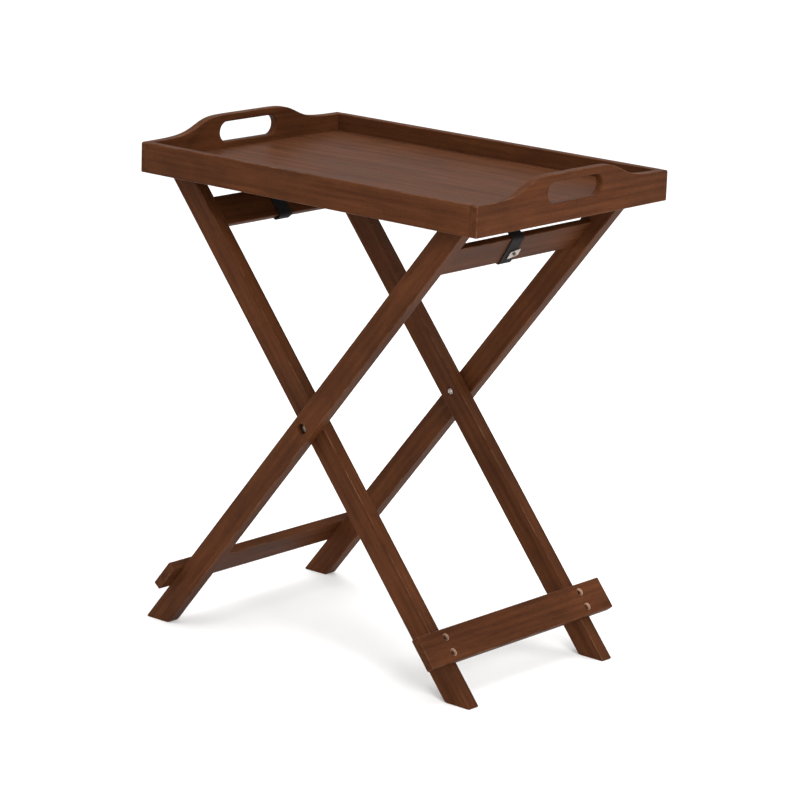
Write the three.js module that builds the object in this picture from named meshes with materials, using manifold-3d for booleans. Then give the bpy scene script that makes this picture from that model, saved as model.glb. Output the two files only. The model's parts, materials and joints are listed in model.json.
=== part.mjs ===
// Folding tray table: a wooden tray with handle holes that lifts off a folding stand. The stand is two
// wooden frames crossed like an X, pinned at the crossing, and a webbing strap under the tray stops them
// from sliding apart.
// Millimetres. +X runs along the tray's long side, +Y towards the back and +Z up. The origin is on the
// floor, under the middle of the tray.
import * as THREE from "three";
import { mergeVertices } from "three/addons/utils/BufferGeometryUtils.js";
import Module from "manifold-3d";

const wasm = await Module();
wasm.setup();

// Clearance between pieces that touch, and round a fastener in its hole
const FIT_GAP = 0.3;

// Tray
const TRAY_LENGTH = 600;
const TRAY_DEPTH = 408;
const TRAY_BOTTOM_Z = 649;
const TRAY_RIM_HEIGHT = 42.2;
const BOARD_THICKNESS = 12;
const PANEL_TOP_HEIGHT = 18;
const PANEL_THICKNESS = 6;
const TONGUE_THICKNESS = 4;
const GROOVE_DEPTH = 4;
const HANDLE_RISE = 23.6;
const HANDLE_HALF_WIDTH = 104;
const HANDLE_STEEPNESS = 7.6;
const HANDLE_STEPS = 56;
const HAND_HOLE_WIDTH = 116;
const HAND_HOLE_HEIGHT = 28.4;
const HAND_HOLE_CENTRE_HEIGHT = 40.8;

// Stand
const PIVOT_X = -12.2;
const PIVOT_Z = 333.3;
const OUTER_LEG_ANGLE = THREE.MathUtils.degToRad(51.4);
const INNER_LEG_ANGLE = THREE.MathUtils.degToRad(50.6);
const LEG_WIDTH = 34.2;
const LEG_THICKNESS = 20;
const LEG_TOP_REACH = 274.5;
const HEEL_RADIUS = 8;
const STAND_DEPTH = 357;
const CROSSING_GAP = 2;

// Upper rails, between the legs, and lower bars, on the upper edges of the legs
const RAIL_THICKNESS = 9.5;
const OUTER_RAIL = { start: 303, end: 354 };
const INNER_RAIL = { start: 312.5, end: 357.5 };
const BAR_THICKNESS = 13;
const BAR_LENGTH = 394;
const OUTER_BAR = { start: -372, end: -326 };
const INNER_BAR = { start: -378, end: -330.5 };

// Fasteners
const BOLT_RADIUS = 3;
const BOLT_HEAD_RADIUS = 5.4;
const BOLT_HEAD_HEIGHT = 3;
const BOLT_HEAD_CHAMFER = 0.8;
const BOLT_TIP_CHAMFER = 0.5;
const BOLT_TIP_SHY = 0.6;
const BOLT_SOCKET_RADIUS = 2.4;
const BOLT_SOCKET_DEPTH = 1.8;
const BOLT_RECESS_RADIUS = 7.4;
const BOLT_RECESS_DEPTH = 10;
const NUT_RADIUS = 5;
const NUT_HEIGHT = 3;
const NUT_RECESS_RADIUS = 5.8;
const NUT_RECESS_DEPTH = 4;
const WASHER_RADIUS = 9;
const SCREW_RADIUS = 2;
const SCREW_HEAD_RADIUS = 3.8;
const SCREW_HEAD_HEIGHT = 2.4;
const SCREW_HEAD_RIM = 0.3;
const SCREW_LENGTH = 32;
const SCREW_RECESS_RADIUS = 5.2;
const SCREW_RECESS_DEPTH = 3;
const SCREW_SPACING = 23;
const DOWEL_RADIUS = 3;
const DOWEL_LENGTH = 24;
const DOWEL_SPACING = 24;

// Strap
const STRAP_WIDTH = 26;
const STRAP_THICKNESS = 1.6;
const STRAP_OUTER_Y = 4.5;
const STRAP_INNER_Y = -14;
const STRAP_OUTER_LEAN = 0.27;
const PLATE_LENGTH = 15;
const PLATE_WIDTH = 20;
const PLATE_THICKNESS = 1.2;
const PLATE_SHIFT = 6.3;
const PLATE_FROM_EDGE = 19.5;
const PLATE_SCREW_RADIUS = 1.5;
const PLATE_SCREW_HEAD_RADIUS = 3;
const PLATE_SCREW_HEAD_HEIGHT = 1.2;
const PLATE_SCREW_LENGTH = 8;

// How finely round shapes are drawn, and how far a cutting shape runs past the face that it opens
const ROUND_SIDES = 24;
const SMALL_SIDES = 16;
const NUT_SIDES = 6;
const CURVE_STEPS = 12;
const OVERCUT = 1;

const wood = () =>
  new THREE.MeshStandardMaterial({ color: 0x5a3220, roughness: 0.45, metalness: 0 });
const panelWood = () =>
  new THREE.MeshStandardMaterial({ color: 0x6b4630, roughness: 0.4, metalness: 0 });
const dowelWood = () =>
  new THREE.MeshStandardMaterial({ color: 0xc9a878, roughness: 0.7, metalness: 0 });
const steel = () =>
  new THREE.MeshStandardMaterial({ color: 0xb5b3ae, roughness: 0.35, metalness: 1 });
const webbing = () =>
  new THREE.MeshStandardMaterial({ color: 0x17161a, roughness: 0.9, metalness: 0 });

// ---- Cutting ---------------------------------------------------------------------------------------

function solidOf(geometry) {
  const bare = geometry.clone();
  bare.deleteAttribute("normal");
  bare.deleteAttribute("uv");
  const merged = mergeVertices(bare, 1e-4);
  return new wasm.Manifold(
    new wasm.Mesh({
      numProp: 3,
      vertProperties: new Float32Array(merged.attributes.position.array),
      triVerts: new Uint32Array(merged.index.array),
    }),
  );
}

function cut(geometry, cutters) {
  let solid = solidOf(geometry);
  for (const cutter of cutters) {
    solid = solid.subtract(solidOf(cutter));
  }
  const mesh = solid.getMesh();
  return new THREE.BufferGeometry()
    .setAttribute("position", new THREE.BufferAttribute(mesh.vertProperties, 3))
    .setIndex(new THREE.BufferAttribute(mesh.triVerts, 1));
}

function piece(name, geometry, material) {
  const mesh = new THREE.Mesh(geometry, material);
  mesh.name = name;
  return mesh;
}

// A block from its low corner to its high corner.
function block(x0, x1, y0, y1, z0, z1) {
  const box = new THREE.BoxGeometry(x1 - x0, y1 - y0, z1 - z0);
  return box.translate((x0 + x1) / 2, (y0 + y1) / 2, (z0 + z1) / 2);
}

// An outline drawn in X and Z, carried along Y.
function slab(shape, y0, y1) {
  const options = { depth: y1 - y0, bevelEnabled: false, curveSegments: CURVE_STEPS };
  return new THREE.ExtrudeGeometry(shape, options).rotateX(Math.PI / 2).translate(0, y1, 0);
}

// A round rod along Y, at x and z, from y0 to y1.
function rodAlongY(radius, x, z, y0, y1, sides = ROUND_SIDES) {
  const rod = new THREE.CylinderGeometry(radius, radius, y1 - y0, sides);
  return rod.translate(x, (y0 + y1) / 2, z);
}

// A round rod along Z, at x and y, from z0 to z1.
function rodAlongZ(radius, x, y, z0, z1, sides = ROUND_SIDES) {
  const rod = new THREE.CylinderGeometry(radius, radius, z1 - z0, sides);
  return rod.rotateX(Math.PI / 2).translate(x, y, (z0 + z1) / 2);
}

// ---- Tray ------------------------------------------------------------------------------------------

const halfLength = TRAY_LENGTH / 2;
const halfDepth = TRAY_DEPTH / 2;
const panelTop = TRAY_BOTTOM_Z + PANEL_TOP_HEIGHT;
const panelBottom = panelTop - PANEL_THICKNESS;

// The groove that the bottom panel's tongue sits in, as a block that cuts every board.
function panelGroove() {
  const reach = GROOVE_DEPTH - BOARD_THICKNESS;
  return block(
    -halfLength - reach,
    halfLength + reach,
    -halfDepth - reach,
    halfDepth + reach,
    panelBottom - FIT_GAP,
    panelBottom + TONGUE_THICKNESS + FIT_GAP,
  );
}

function sideBoard(name, side) {
  const outside = side * halfDepth;
  const inside = side * (halfDepth - BOARD_THICKNESS);
  const end = halfLength - BOARD_THICKNESS - FIT_GAP;
  const board = block(
    -end,
    end,
    Math.min(outside, inside),
    Math.max(outside, inside),
    TRAY_BOTTOM_Z,
    TRAY_BOTTOM_Z + TRAY_RIM_HEIGHT,
  );
  return piece(name, cut(board, [panelGroove()]), wood());
}

// How far the end board's top stands above the tray's bottom edge, at a distance from its middle: the
// rim height, plus a rise that falls away smoothly on both sides of the handle.
function handleHeight(y) {
  const fall = Math.pow(Math.abs(y) / HANDLE_HALF_WIDTH, HANDLE_STEEPNESS);
  return TRAY_RIM_HEIGHT + HANDLE_RISE / (1 + fall);
}

function handleOutline() {
  const outline = new THREE.Shape();
  outline.moveTo(-halfDepth, TRAY_BOTTOM_Z);
  outline.lineTo(halfDepth, TRAY_BOTTOM_Z);
  for (let i = HANDLE_STEPS; i >= 0; i -= 1) {
    const y = halfDepth * ((2 * i) / HANDLE_STEPS - 1);
    outline.lineTo(y, TRAY_BOTTOM_Z + handleHeight(y));
  }
  const radius = HAND_HOLE_HEIGHT / 2;
  const straight = HAND_HOLE_WIDTH / 2 - radius;
  const centre = TRAY_BOTTOM_Z + HAND_HOLE_CENTRE_HEIGHT;
  const hole = new THREE.Path();
  hole.absarc(straight, centre, radius, -Math.PI / 2, Math.PI / 2, false);
  hole.absarc(-straight, centre, radius, Math.PI / 2, (3 * Math.PI) / 2, false);
  outline.holes.push(hole);
  return outline;
}

// An end board stands across the tray: its outline is turned a quarter turn about Z.
function endBoard(name, side) {
  const board = slab(handleOutline(), -BOARD_THICKNESS / 2, BOARD_THICKNESS / 2);
  board.rotateZ(Math.PI / 2).translate(side * (halfLength - BOARD_THICKNESS / 2), 0, 0);
  return piece(name, cut(board, [panelGroove()]), wood());
}

// The panel fills the tray between the boards, and a thinner tongue all round it goes into their grooves.
function bottomPanel() {
  const inset = BOARD_THICKNESS - GROOVE_DEPTH + FIT_GAP;
  const x = halfLength - inset;
  const y = halfDepth - inset;
  const fieldX = halfLength - BOARD_THICKNESS - FIT_GAP;
  const fieldY = halfDepth - BOARD_THICKNESS - FIT_GAP;
  const low = panelBottom + TONGUE_THICKNESS;
  const high = panelTop + OVERCUT;
  const rebates = [-1, 1].flatMap((side) => {
    const endX = [side * fieldX, side * (x + OVERCUT)].sort((a, b) => a - b);
    const endY = [side * fieldY, side * (y + OVERCUT)].sort((a, b) => a - b);
    return [
      block(...endX, -y - OVERCUT, y + OVERCUT, low, high),
      block(-x - OVERCUT, x + OVERCUT, ...endY, low, high),
    ];
  });
  const board = block(-x, x, -y, y, panelBottom, panelTop);
  return piece("tray_bottom_panel", cut(board, rebates), panelWood());
}

function tray() {
  const group = new THREE.Group();
  group.add(sideBoard("tray_front_board", -1));
  group.add(sideBoard("tray_back_board", 1));
  group.add(endBoard("tray_left_handle_board", -1));
  group.add(endBoard("tray_right_handle_board", 1));
  group.add(bottomPanel());
  return group;
}

// ---- Stand -----------------------------------------------------------------------------------------
// Each frame is drawn lying along its legs: X runs up the leg from the pivot, Z to the leg's upper edge
// and Y across the stand. A frame group then leans it, and the inner frame is also turned round.

const halfStand = STAND_DEPTH / 2;
const outerLegOutside = halfStand;
const innerLegOutside = halfStand - LEG_THICKNESS - CROSSING_GAP;
const halfWidth = LEG_WIDTH / 2;

// A leg from the side: cut level at the floor, with a rounded heel, and level and plumb at the top so
// that it stands inside the tray's skirt.
function legOutline(angle) {
  const rise = Math.sin(angle);
  const run = Math.cos(angle);
  const topHeight = panelBottom - FIT_GAP - PIVOT_Z;
  const footAt = (n) => (-PIVOT_Z - n * run) / rise;
  const heel = new THREE.Vector2(footAt(-halfWidth), -halfWidth);
  const toe = new THREE.Vector2(footAt(halfWidth), halfWidth);
  const toeWay = toe.clone().sub(heel).normalize();
  const outline = new THREE.Shape();
  outline.moveTo((LEG_TOP_REACH - halfWidth * rise) / run, -halfWidth);
  outline.lineTo(topHeight * rise + LEG_TOP_REACH * run, topHeight * run - LEG_TOP_REACH * rise);
  outline.lineTo((topHeight - halfWidth * run) / rise, halfWidth);
  outline.lineTo(toe.x, toe.y);
  outline.lineTo(heel.x + toeWay.x * HEEL_RADIUS, heel.y + toeWay.y * HEEL_RADIUS);
  outline.quadraticCurveTo(heel.x, heel.y, heel.x + HEEL_RADIUS, heel.y);
  outline.closePath();
  return outline;
}

// Where the hidden dowels of a rail are, along the leg.
function dowelPlaces(rail) {
  const middle = (rail.start + rail.end) / 2;
  return [middle - DOWEL_SPACING / 2, middle + DOWEL_SPACING / 2];
}

// Where the screws of a lower bar are, along the leg.
function screwPlaces(bar) {
  const middle = (bar.start + bar.end) / 2;
  return [middle - SCREW_SPACING / 2, middle + SCREW_SPACING / 2];
}

// The dowel holes or dowels at one end of a rail: they cross the leg's inner face.
function dowelRods(rail, side, insideFace, clearance) {
  const half = DOWEL_LENGTH / 2 + clearance;
  const radius = DOWEL_RADIUS + clearance;
  const y = side * insideFace;
  return dowelPlaces(rail).map((x) =>
    rodAlongY(radius, x, RAIL_THICKNESS / 2, y - half, y + half, SMALL_SIDES),
  );
}

// The hole for a screw of a lower bar, with the sunk hole for its head.
function screwHoles(bar, y) {
  const top = halfWidth + FIT_GAP + BAR_THICKNESS;
  const head = top - SCREW_RECESS_DEPTH - SCREW_HEAD_HEIGHT - FIT_GAP;
  const tip = top - SCREW_RECESS_DEPTH - SCREW_LENGTH - FIT_GAP;
  return screwPlaces(bar).flatMap((x) => [
    rodAlongZ(SCREW_RADIUS + FIT_GAP, x, y, tip, top + OVERCUT, SMALL_SIDES),
    rodAlongZ(SCREW_RECESS_RADIUS, x, y, head, top + OVERCUT),
  ]);
}

// The recess for the bolt's head, in an outer leg's outer face, or for its nut, in an inner leg's inner
// face.
function pivotRecess(spec, side) {
  const inside = spec.outside - LEG_THICKNESS;
  const forHead = spec.recessAt === "outside";
  const radius = forHead ? BOLT_RECESS_RADIUS : NUT_RECESS_RADIUS;
  const floor = forHead ? spec.outside - BOLT_RECESS_DEPTH : inside + NUT_RECESS_DEPTH;
  const over = forHead ? spec.outside + OVERCUT : inside - OVERCUT;
  const [y0, y1] = [side * floor, side * over].sort((a, b) => a - b);
  return rodAlongY(radius, 0, 0, y0, y1);
}

// A leg on one side of the stand: side is +1 or -1 along Y, and spec.outside is how far out its outer
// face is.
function leg(name, spec, side) {
  const { angle, rail, bar, outside } = spec;
  const inside = outside - LEG_THICKNESS;
  const [y0, y1] = side > 0 ? [inside, outside] : [-outside, -inside];
  const middle = (y0 + y1) / 2;
  const body = slab(legOutline(angle), y0, y1);
  const holes = [rodAlongY(BOLT_RADIUS + FIT_GAP, 0, 0, y0 - OVERCUT, y1 + OVERCUT)];
  holes.push(pivotRecess(spec, side));
  holes.push(...dowelRods(rail, side, inside - FIT_GAP / 2, FIT_GAP));
  holes.push(...screwHoles(bar, middle));
  return piece(name, cut(body, holes), wood());
}

function upperRail(name, spec) {
  const { rail } = spec;
  const end = spec.outside - LEG_THICKNESS - FIT_GAP;
  const body = block(rail.start, rail.end, -end, end, 0, RAIL_THICKNESS);
  const face = end + FIT_GAP / 2;
  const holes = [...dowelRods(rail, 1, face, FIT_GAP), ...dowelRods(rail, -1, face, FIT_GAP)];
  holes.push(plateScrewHole(spec));
  return piece(name, cut(body, holes), wood());
}

function lowerBar(name, spec) {
  const { bar } = spec;
  const low = halfWidth + FIT_GAP;
  const body = block(bar.start, bar.end, -BAR_LENGTH / 2, BAR_LENGTH / 2, low, low + BAR_THICKNESS);
  const y = spec.outside - LEG_THICKNESS / 2;
  return piece(name, cut(body, [...screwHoles(bar, y), ...screwHoles(bar, -y)]), wood());
}

// A countersunk screw, pointing down Z, with the top of its head at z = 0.
function screw(radius, headRadius, headHeight, length) {
  const profile = [
    new THREE.Vector2(0, -length),
    new THREE.Vector2(radius, 2 * radius - length),
    new THREE.Vector2(radius, -headHeight),
    new THREE.Vector2(headRadius, -SCREW_HEAD_RIM),
    new THREE.Vector2(headRadius, 0),
    new THREE.Vector2(0, 0),
  ];
  return new THREE.LatheGeometry(profile, SMALL_SIDES).rotateX(Math.PI / 2);
}

function barScrews(spec) {
  const top = halfWidth + FIT_GAP + BAR_THICKNESS - SCREW_RECESS_DEPTH;
  const screws = [];
  for (const [place, side] of spec.screwSides) {
    const y = side * (spec.outside - LEG_THICKNESS / 2);
    screwPlaces(spec.bar).forEach((x, i) => {
      const body = screw(SCREW_RADIUS, SCREW_HEAD_RADIUS, SCREW_HEAD_HEIGHT, SCREW_LENGTH);
      body.translate(x, y, top);
      screws.push(piece(`${spec.name}_bar_screw_${place}_${i + 1}`, body, steel()));
    });
  }
  return screws;
}

function railDowels(spec) {
  const face = spec.outside - LEG_THICKNESS - FIT_GAP / 2;
  return spec.screwSides.flatMap(([place, side]) =>
    dowelRods(spec.rail, side, face, 0).map((rod, i) =>
      piece(`${spec.name}_rail_dowel_${place}_${i + 1}`, rod, dowelWood()),
    ),
  );
}

// ---- Strap -----------------------------------------------------------------------------------------

// Where the strap's middle is across the stand, at a place along the leg: on the outer rail it leans.
function strapMiddle(spec, x) {
  const { start, end } = spec.rail;
  return spec.strapY - spec.strapLean * (x - (start + end) / 2);
}

// The strap's loop round a rail: a closed band with the rail inside it.
function strapLoop(name, spec) {
  const { rail } = spec;
  const rectangle = (shape, grow) => {
    shape.moveTo(rail.start - grow, -grow);
    shape.lineTo(rail.end + grow, -grow);
    shape.lineTo(rail.end + grow, RAIL_THICKNESS + grow);
    shape.lineTo(rail.start - grow, RAIL_THICKNESS + grow);
    shape.closePath();
    return shape;
  };
  const band = rectangle(new THREE.Shape(), FIT_GAP + STRAP_THICKNESS);
  band.holes.push(rectangle(new THREE.Path(), FIT_GAP));
  const body = slab(band, -STRAP_WIDTH / 2, STRAP_WIDTH / 2);
  const lean = -spec.strapLean;
  body.applyMatrix4(
    new THREE.Matrix4().set(1, 0, 0, 0, lean, 1, 0, strapMiddle(spec, 0), 0, 0, 1, 0, 0, 0, 0, 1),
  );
  return piece(name, cut(body, [plateScrewHole(spec)]), webbing());
}

const plateOutside = -(2 * FIT_GAP + STRAP_THICKNESS + PLATE_THICKNESS);

function platePlace(spec) {
  const x = spec.rail.start + PLATE_FROM_EDGE;
  return { x, y: strapMiddle(spec, x) + spec.plateShift };
}

function plateScrewHole(spec) {
  const { x, y } = platePlace(spec);
  return rodAlongZ(
    PLATE_SCREW_RADIUS + FIT_GAP,
    x,
    y,
    plateOutside - OVERCUT,
    plateOutside + PLATE_SCREW_LENGTH + FIT_GAP,
    SMALL_SIDES,
  );
}

function strapPlate(name, spec) {
  const { x, y } = platePlace(spec);
  const body = block(
    -PLATE_LENGTH / 2,
    PLATE_LENGTH / 2,
    -PLATE_WIDTH / 2,
    PLATE_WIDTH / 2,
    plateOutside,
    plateOutside + PLATE_THICKNESS,
  );
  body.rotateZ(-Math.atan(spec.strapLean)).translate(x, y, 0);
  return piece(name, cut(body, [plateScrewHole(spec)]), steel());
}

function strapScrew(name, spec) {
  const { x, y } = platePlace(spec);
  const head = PLATE_SCREW_HEAD_HEIGHT;
  const body = screw(PLATE_SCREW_RADIUS, PLATE_SCREW_HEAD_RADIUS, head, PLATE_SCREW_LENGTH + head);
  body.rotateX(Math.PI).translate(x, y, plateOutside - FIT_GAP - head);
  return piece(name, body, steel());
}

// The strap's stretch between the rails: level, just above the rails' top corners.
function strapSpan() {
  const corner = (spec) => {
    const grow = FIT_GAP + STRAP_THICKNESS;
    const x = spec.rail.end + grow;
    const z = RAIL_THICKNESS + grow;
    const reach = x * Math.cos(spec.angle) - z * Math.sin(spec.angle);
    const height = x * Math.sin(spec.angle) + z * Math.cos(spec.angle);
    const y = spec.side * strapMiddle(spec, x);
    return { x: PIVOT_X + spec.side * reach, y, z: PIVOT_Z + height };
  };
  const left = corner(innerSpec);
  const right = corner(outerSpec);
  const low = Math.max(left.z, right.z) + FIT_GAP;
  const outline = new THREE.Shape();
  outline.moveTo(left.x, left.y - STRAP_WIDTH / 2);
  outline.lineTo(right.x, right.y - STRAP_WIDTH / 2);
  outline.lineTo(right.x, right.y + STRAP_WIDTH / 2);
  outline.lineTo(left.x, left.y + STRAP_WIDTH / 2);
  outline.closePath();
  const body = new THREE.ExtrudeGeometry(outline, { depth: STRAP_THICKNESS, bevelEnabled: false });
  return piece("strap_span", body.translate(0, 0, low), webbing());
}

// ---- Pivots ----------------------------------------------------------------------------------------

// A piece drawn for the +Y side of the stand, turned round for the other side.
function facing(side, geometry) {
  return side > 0 ? geometry : geometry.rotateZ(Math.PI);
}

// A pivot bolt along Y, with a hexagon socket, its head in the outer leg and its end in the inner leg.
function pivotBolt(name, side) {
  const headTop = halfStand - (BOLT_RECESS_DEPTH - BOLT_HEAD_HEIGHT - FIT_GAP);
  const headUnder = headTop - BOLT_HEAD_HEIGHT;
  const tip = innerLegOutside - LEG_THICKNESS + BOLT_TIP_SHY;
  const profile = [
    new THREE.Vector2(0, tip),
    new THREE.Vector2(BOLT_RADIUS - BOLT_TIP_CHAMFER, tip),
    new THREE.Vector2(BOLT_RADIUS, tip + BOLT_TIP_CHAMFER),
    new THREE.Vector2(BOLT_RADIUS, headUnder),
    new THREE.Vector2(BOLT_HEAD_RADIUS, headUnder),
    new THREE.Vector2(BOLT_HEAD_RADIUS, headTop - BOLT_HEAD_CHAMFER),
    new THREE.Vector2(BOLT_HEAD_RADIUS - BOLT_HEAD_CHAMFER, headTop),
    new THREE.Vector2(0, headTop),
  ];
  const body = new THREE.LatheGeometry(profile, ROUND_SIDES);
  const socketFloor = headTop - BOLT_SOCKET_DEPTH;
  const socket = rodAlongY(BOLT_SOCKET_RADIUS, 0, 0, socketFloor, headTop + OVERCUT, NUT_SIDES);
  return piece(name, facing(side, cut(body, [socket])), steel());
}

function pivotNut(name, side) {
  const inner = innerLegOutside - LEG_THICKNESS + NUT_RECESS_DEPTH - FIT_GAP;
  const outer = inner - NUT_HEIGHT;
  const body = rodAlongY(NUT_RADIUS, 0, 0, outer, inner, NUT_SIDES);
  const hole = rodAlongY(BOLT_RADIUS + FIT_GAP, 0, 0, outer - OVERCUT, inner + OVERCUT);
  return piece(name, facing(side, cut(body, [hole])), steel());
}

function pivotWasher(name, side) {
  const y0 = innerLegOutside + FIT_GAP;
  const y1 = innerLegOutside + CROSSING_GAP - FIT_GAP;
  const body = rodAlongY(WASHER_RADIUS, 0, 0, y0, y1);
  const hole = rodAlongY(BOLT_RADIUS + FIT_GAP, 0, 0, y0 - OVERCUT, y1 + OVERCUT);
  return piece(name, facing(side, cut(body, [hole])), steel());
}

// ---- Frames ----------------------------------------------------------------------------------------

const outerSpec = {
  name: "outer",
  side: 1,
  angle: OUTER_LEG_ANGLE,
  rail: OUTER_RAIL,
  bar: OUTER_BAR,
  outside: outerLegOutside,
  recessAt: "outside",
  strapY: STRAP_OUTER_Y,
  strapLean: STRAP_OUTER_LEAN,
  plateShift: PLATE_SHIFT,
  screwSides: [["front", -1], ["back", 1]],
};
const innerSpec = {
  name: "inner",
  side: -1,
  angle: INNER_LEG_ANGLE,
  rail: INNER_RAIL,
  bar: INNER_BAR,
  outside: innerLegOutside,
  recessAt: "inside",
  strapY: -STRAP_INNER_Y,
  strapLean: 0,
  plateShift: 0,
  screwSides: [["front", 1], ["back", -1]],
};

function standFrame(spec) {
  const leaned = new THREE.Group();
  leaned.rotation.y = -spec.angle;
  for (const [place, side] of spec.screwSides) {
    leaned.add(leg(`${spec.name}_leg_${place}`, spec, side));
  }
  leaned.add(upperRail(`${spec.name}_top_rail`, spec));
  leaned.add(lowerBar(`${spec.name}_lower_bar`, spec));
  leaned.add(...railDowels(spec));
  leaned.add(...barScrews(spec));
  leaned.add(strapLoop(`strap_loop_${spec.name}`, spec));
  leaned.add(strapPlate(`strap_plate_${spec.name}`, spec));
  leaned.add(strapScrew(`strap_screw_${spec.name}`, spec));
  const frame = new THREE.Group();
  frame.position.set(PIVOT_X, 0, PIVOT_Z);
  frame.add(leaned);
  return frame;
}

function pivots() {
  const group = new THREE.Group();
  group.position.set(PIVOT_X, 0, PIVOT_Z);
  for (const [place, side] of [["front", -1], ["back", 1]]) {
    group.add(pivotBolt(`pivot_bolt_${place}`, side));
    group.add(pivotNut(`pivot_nut_${place}`, side));
    group.add(pivotWasher(`pivot_washer_${place}`, side));
  }
  return group;
}

const outerFrame = standFrame(outerSpec);
const innerFrame = standFrame(innerSpec);
innerFrame.rotation.z = Math.PI;

const table = new THREE.Group();
table.add(tray());
table.add(outerFrame);
table.add(innerFrame);
table.add(pivots());
table.add(strapSpan());

export default table;
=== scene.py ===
# Folding tray table: a stained wooden tray on two crossed frames, which turn on two bolts and are held
# open by a strap. Metres; +X along the tray, +Y to the back and +Z up, as in the frame it is built on.
import json
import math

import bpy
import numpy as np
from mathutils import Matrix, Vector


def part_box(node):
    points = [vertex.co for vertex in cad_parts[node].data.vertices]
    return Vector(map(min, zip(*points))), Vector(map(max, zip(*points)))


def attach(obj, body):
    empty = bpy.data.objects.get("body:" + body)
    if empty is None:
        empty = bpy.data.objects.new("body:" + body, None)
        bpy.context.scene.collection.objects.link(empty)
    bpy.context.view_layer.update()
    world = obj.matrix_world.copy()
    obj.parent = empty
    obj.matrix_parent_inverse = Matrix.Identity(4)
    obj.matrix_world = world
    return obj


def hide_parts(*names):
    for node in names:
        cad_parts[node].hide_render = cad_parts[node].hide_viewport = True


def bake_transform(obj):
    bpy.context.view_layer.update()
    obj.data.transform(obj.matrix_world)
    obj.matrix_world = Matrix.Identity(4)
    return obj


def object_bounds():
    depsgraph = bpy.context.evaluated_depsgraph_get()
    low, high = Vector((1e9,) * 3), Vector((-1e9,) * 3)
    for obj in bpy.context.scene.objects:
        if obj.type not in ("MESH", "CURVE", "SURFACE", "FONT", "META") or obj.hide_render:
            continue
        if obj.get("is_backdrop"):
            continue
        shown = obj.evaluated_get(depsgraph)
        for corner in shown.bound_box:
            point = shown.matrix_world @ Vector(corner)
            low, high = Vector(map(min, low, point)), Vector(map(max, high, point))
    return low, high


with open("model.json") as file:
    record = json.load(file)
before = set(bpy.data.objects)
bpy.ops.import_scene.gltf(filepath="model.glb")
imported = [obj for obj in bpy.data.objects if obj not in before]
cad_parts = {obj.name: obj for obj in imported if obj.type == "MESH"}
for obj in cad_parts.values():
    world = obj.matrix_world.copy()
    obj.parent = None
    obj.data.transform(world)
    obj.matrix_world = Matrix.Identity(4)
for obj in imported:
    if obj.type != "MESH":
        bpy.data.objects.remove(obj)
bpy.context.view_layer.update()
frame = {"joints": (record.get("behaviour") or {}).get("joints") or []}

scene = bpy.context.scene
scene.view_settings.view_transform = "Standard"


# ---- Camera ----------------------------------------------------------------------------------------
# A long lens a little above the tray, turned to the right-hand front corner.
CAMERA_PLACE = (2.978, -3.5176, 1.512)
CAMERA_YAW = math.radians(40.15)
CAMERA_PITCH = math.radians(14.19)
CAMERA_ROLL = math.radians(2.02)
CAMERA_LENS = 153.62
SENSOR_WIDTH = 36
FAR_CLIP = 100

forward = Vector((
    -math.sin(CAMERA_YAW) * math.cos(CAMERA_PITCH),
    math.cos(CAMERA_YAW) * math.cos(CAMERA_PITCH),
    -math.sin(CAMERA_PITCH),
))
level = forward.cross(Vector((0, 0, 1))).normalized()
upright = level.cross(forward)
picture_right = level * math.cos(CAMERA_ROLL) + upright * math.sin(CAMERA_ROLL)
picture_up = upright * math.cos(CAMERA_ROLL) - level * math.sin(CAMERA_ROLL)

camera = bpy.data.objects.new("camera", bpy.data.cameras.new("camera"))
camera.data.lens = CAMERA_LENS
camera.data.sensor_width = SENSOR_WIDTH
camera.data.clip_end = FAR_CLIP
turn = Matrix((picture_right, picture_up, -forward)).transposed().to_4x4()
camera.matrix_world = Matrix.Translation(CAMERA_PLACE) @ turn
scene.collection.objects.link(camera)
scene.camera = camera


# ---- Studio ----------------------------------------------------------------------------------------
# A pale floor that runs out of sight, a pale sky that darkens towards the horizon, and large soft lamps.
FLOOR_HALF = 30
FLOOR_COLOUR = (0.9, 0.9, 0.89, 1)
SKY_HORIZON = (0.62, 0.62, 0.63, 1)
SKY_TOP = (1.0, 1.0, 1.0, 1)
SKY_TOP_FROM = 0.7
SKY_STRENGTH = 1.15
LAMPS = {
    "key": {"place": (4.6, -2.9, 3.35), "size": 2.6, "power": 255},
    "low": {"place": (4.2, -1.4, 0.6), "size": 1.2, "power": 25},
    "front": {"place": (-2.4, -3.2, 2.2), "size": 2.4, "power": 25},
    "top": {"place": (0.2, 0.6, 3.6), "size": 3.0, "power": 65},
}
LAMP_AIM = Vector((0, 0, 0.35))

corner = FLOOR_HALF * np.array([(-1, -1, 0), (1, -1, 0), (1, 1, 0), (-1, 1, 0)], float)
floor_mesh = bpy.data.meshes.new("floor")
floor_mesh.from_pydata(corner.tolist(), [], [(0, 1, 2, 3)])
floor = bpy.data.objects.new("floor", floor_mesh)
scene.collection.objects.link(floor)
floor_paint = bpy.data.materials.new("floor_paint")
floor_paint.use_nodes = True
floor_shader = floor_paint.node_tree.nodes["Principled BSDF"]
floor_shader.inputs["Base Color"].default_value = FLOOR_COLOUR
floor_shader.inputs["Roughness"].default_value = 0.9
floor_shader.inputs["Specular IOR Level"].default_value = 0.1
floor_mesh.materials.append(floor_paint)
floor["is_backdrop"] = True

sky = bpy.data.worlds.new("sky")
scene.world = sky
sky.use_nodes = True
sky_nodes, sky_links = sky.node_tree.nodes, sky.node_tree.links
direction = sky_nodes.new("ShaderNodeTexCoord")
height = sky_nodes.new("ShaderNodeSeparateXYZ")
shades = sky_nodes.new("ShaderNodeValToRGB")
shades.color_ramp.elements[0].color = SKY_HORIZON
shades.color_ramp.elements[1].color = SKY_TOP
shades.color_ramp.elements[1].position = SKY_TOP_FROM
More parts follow.
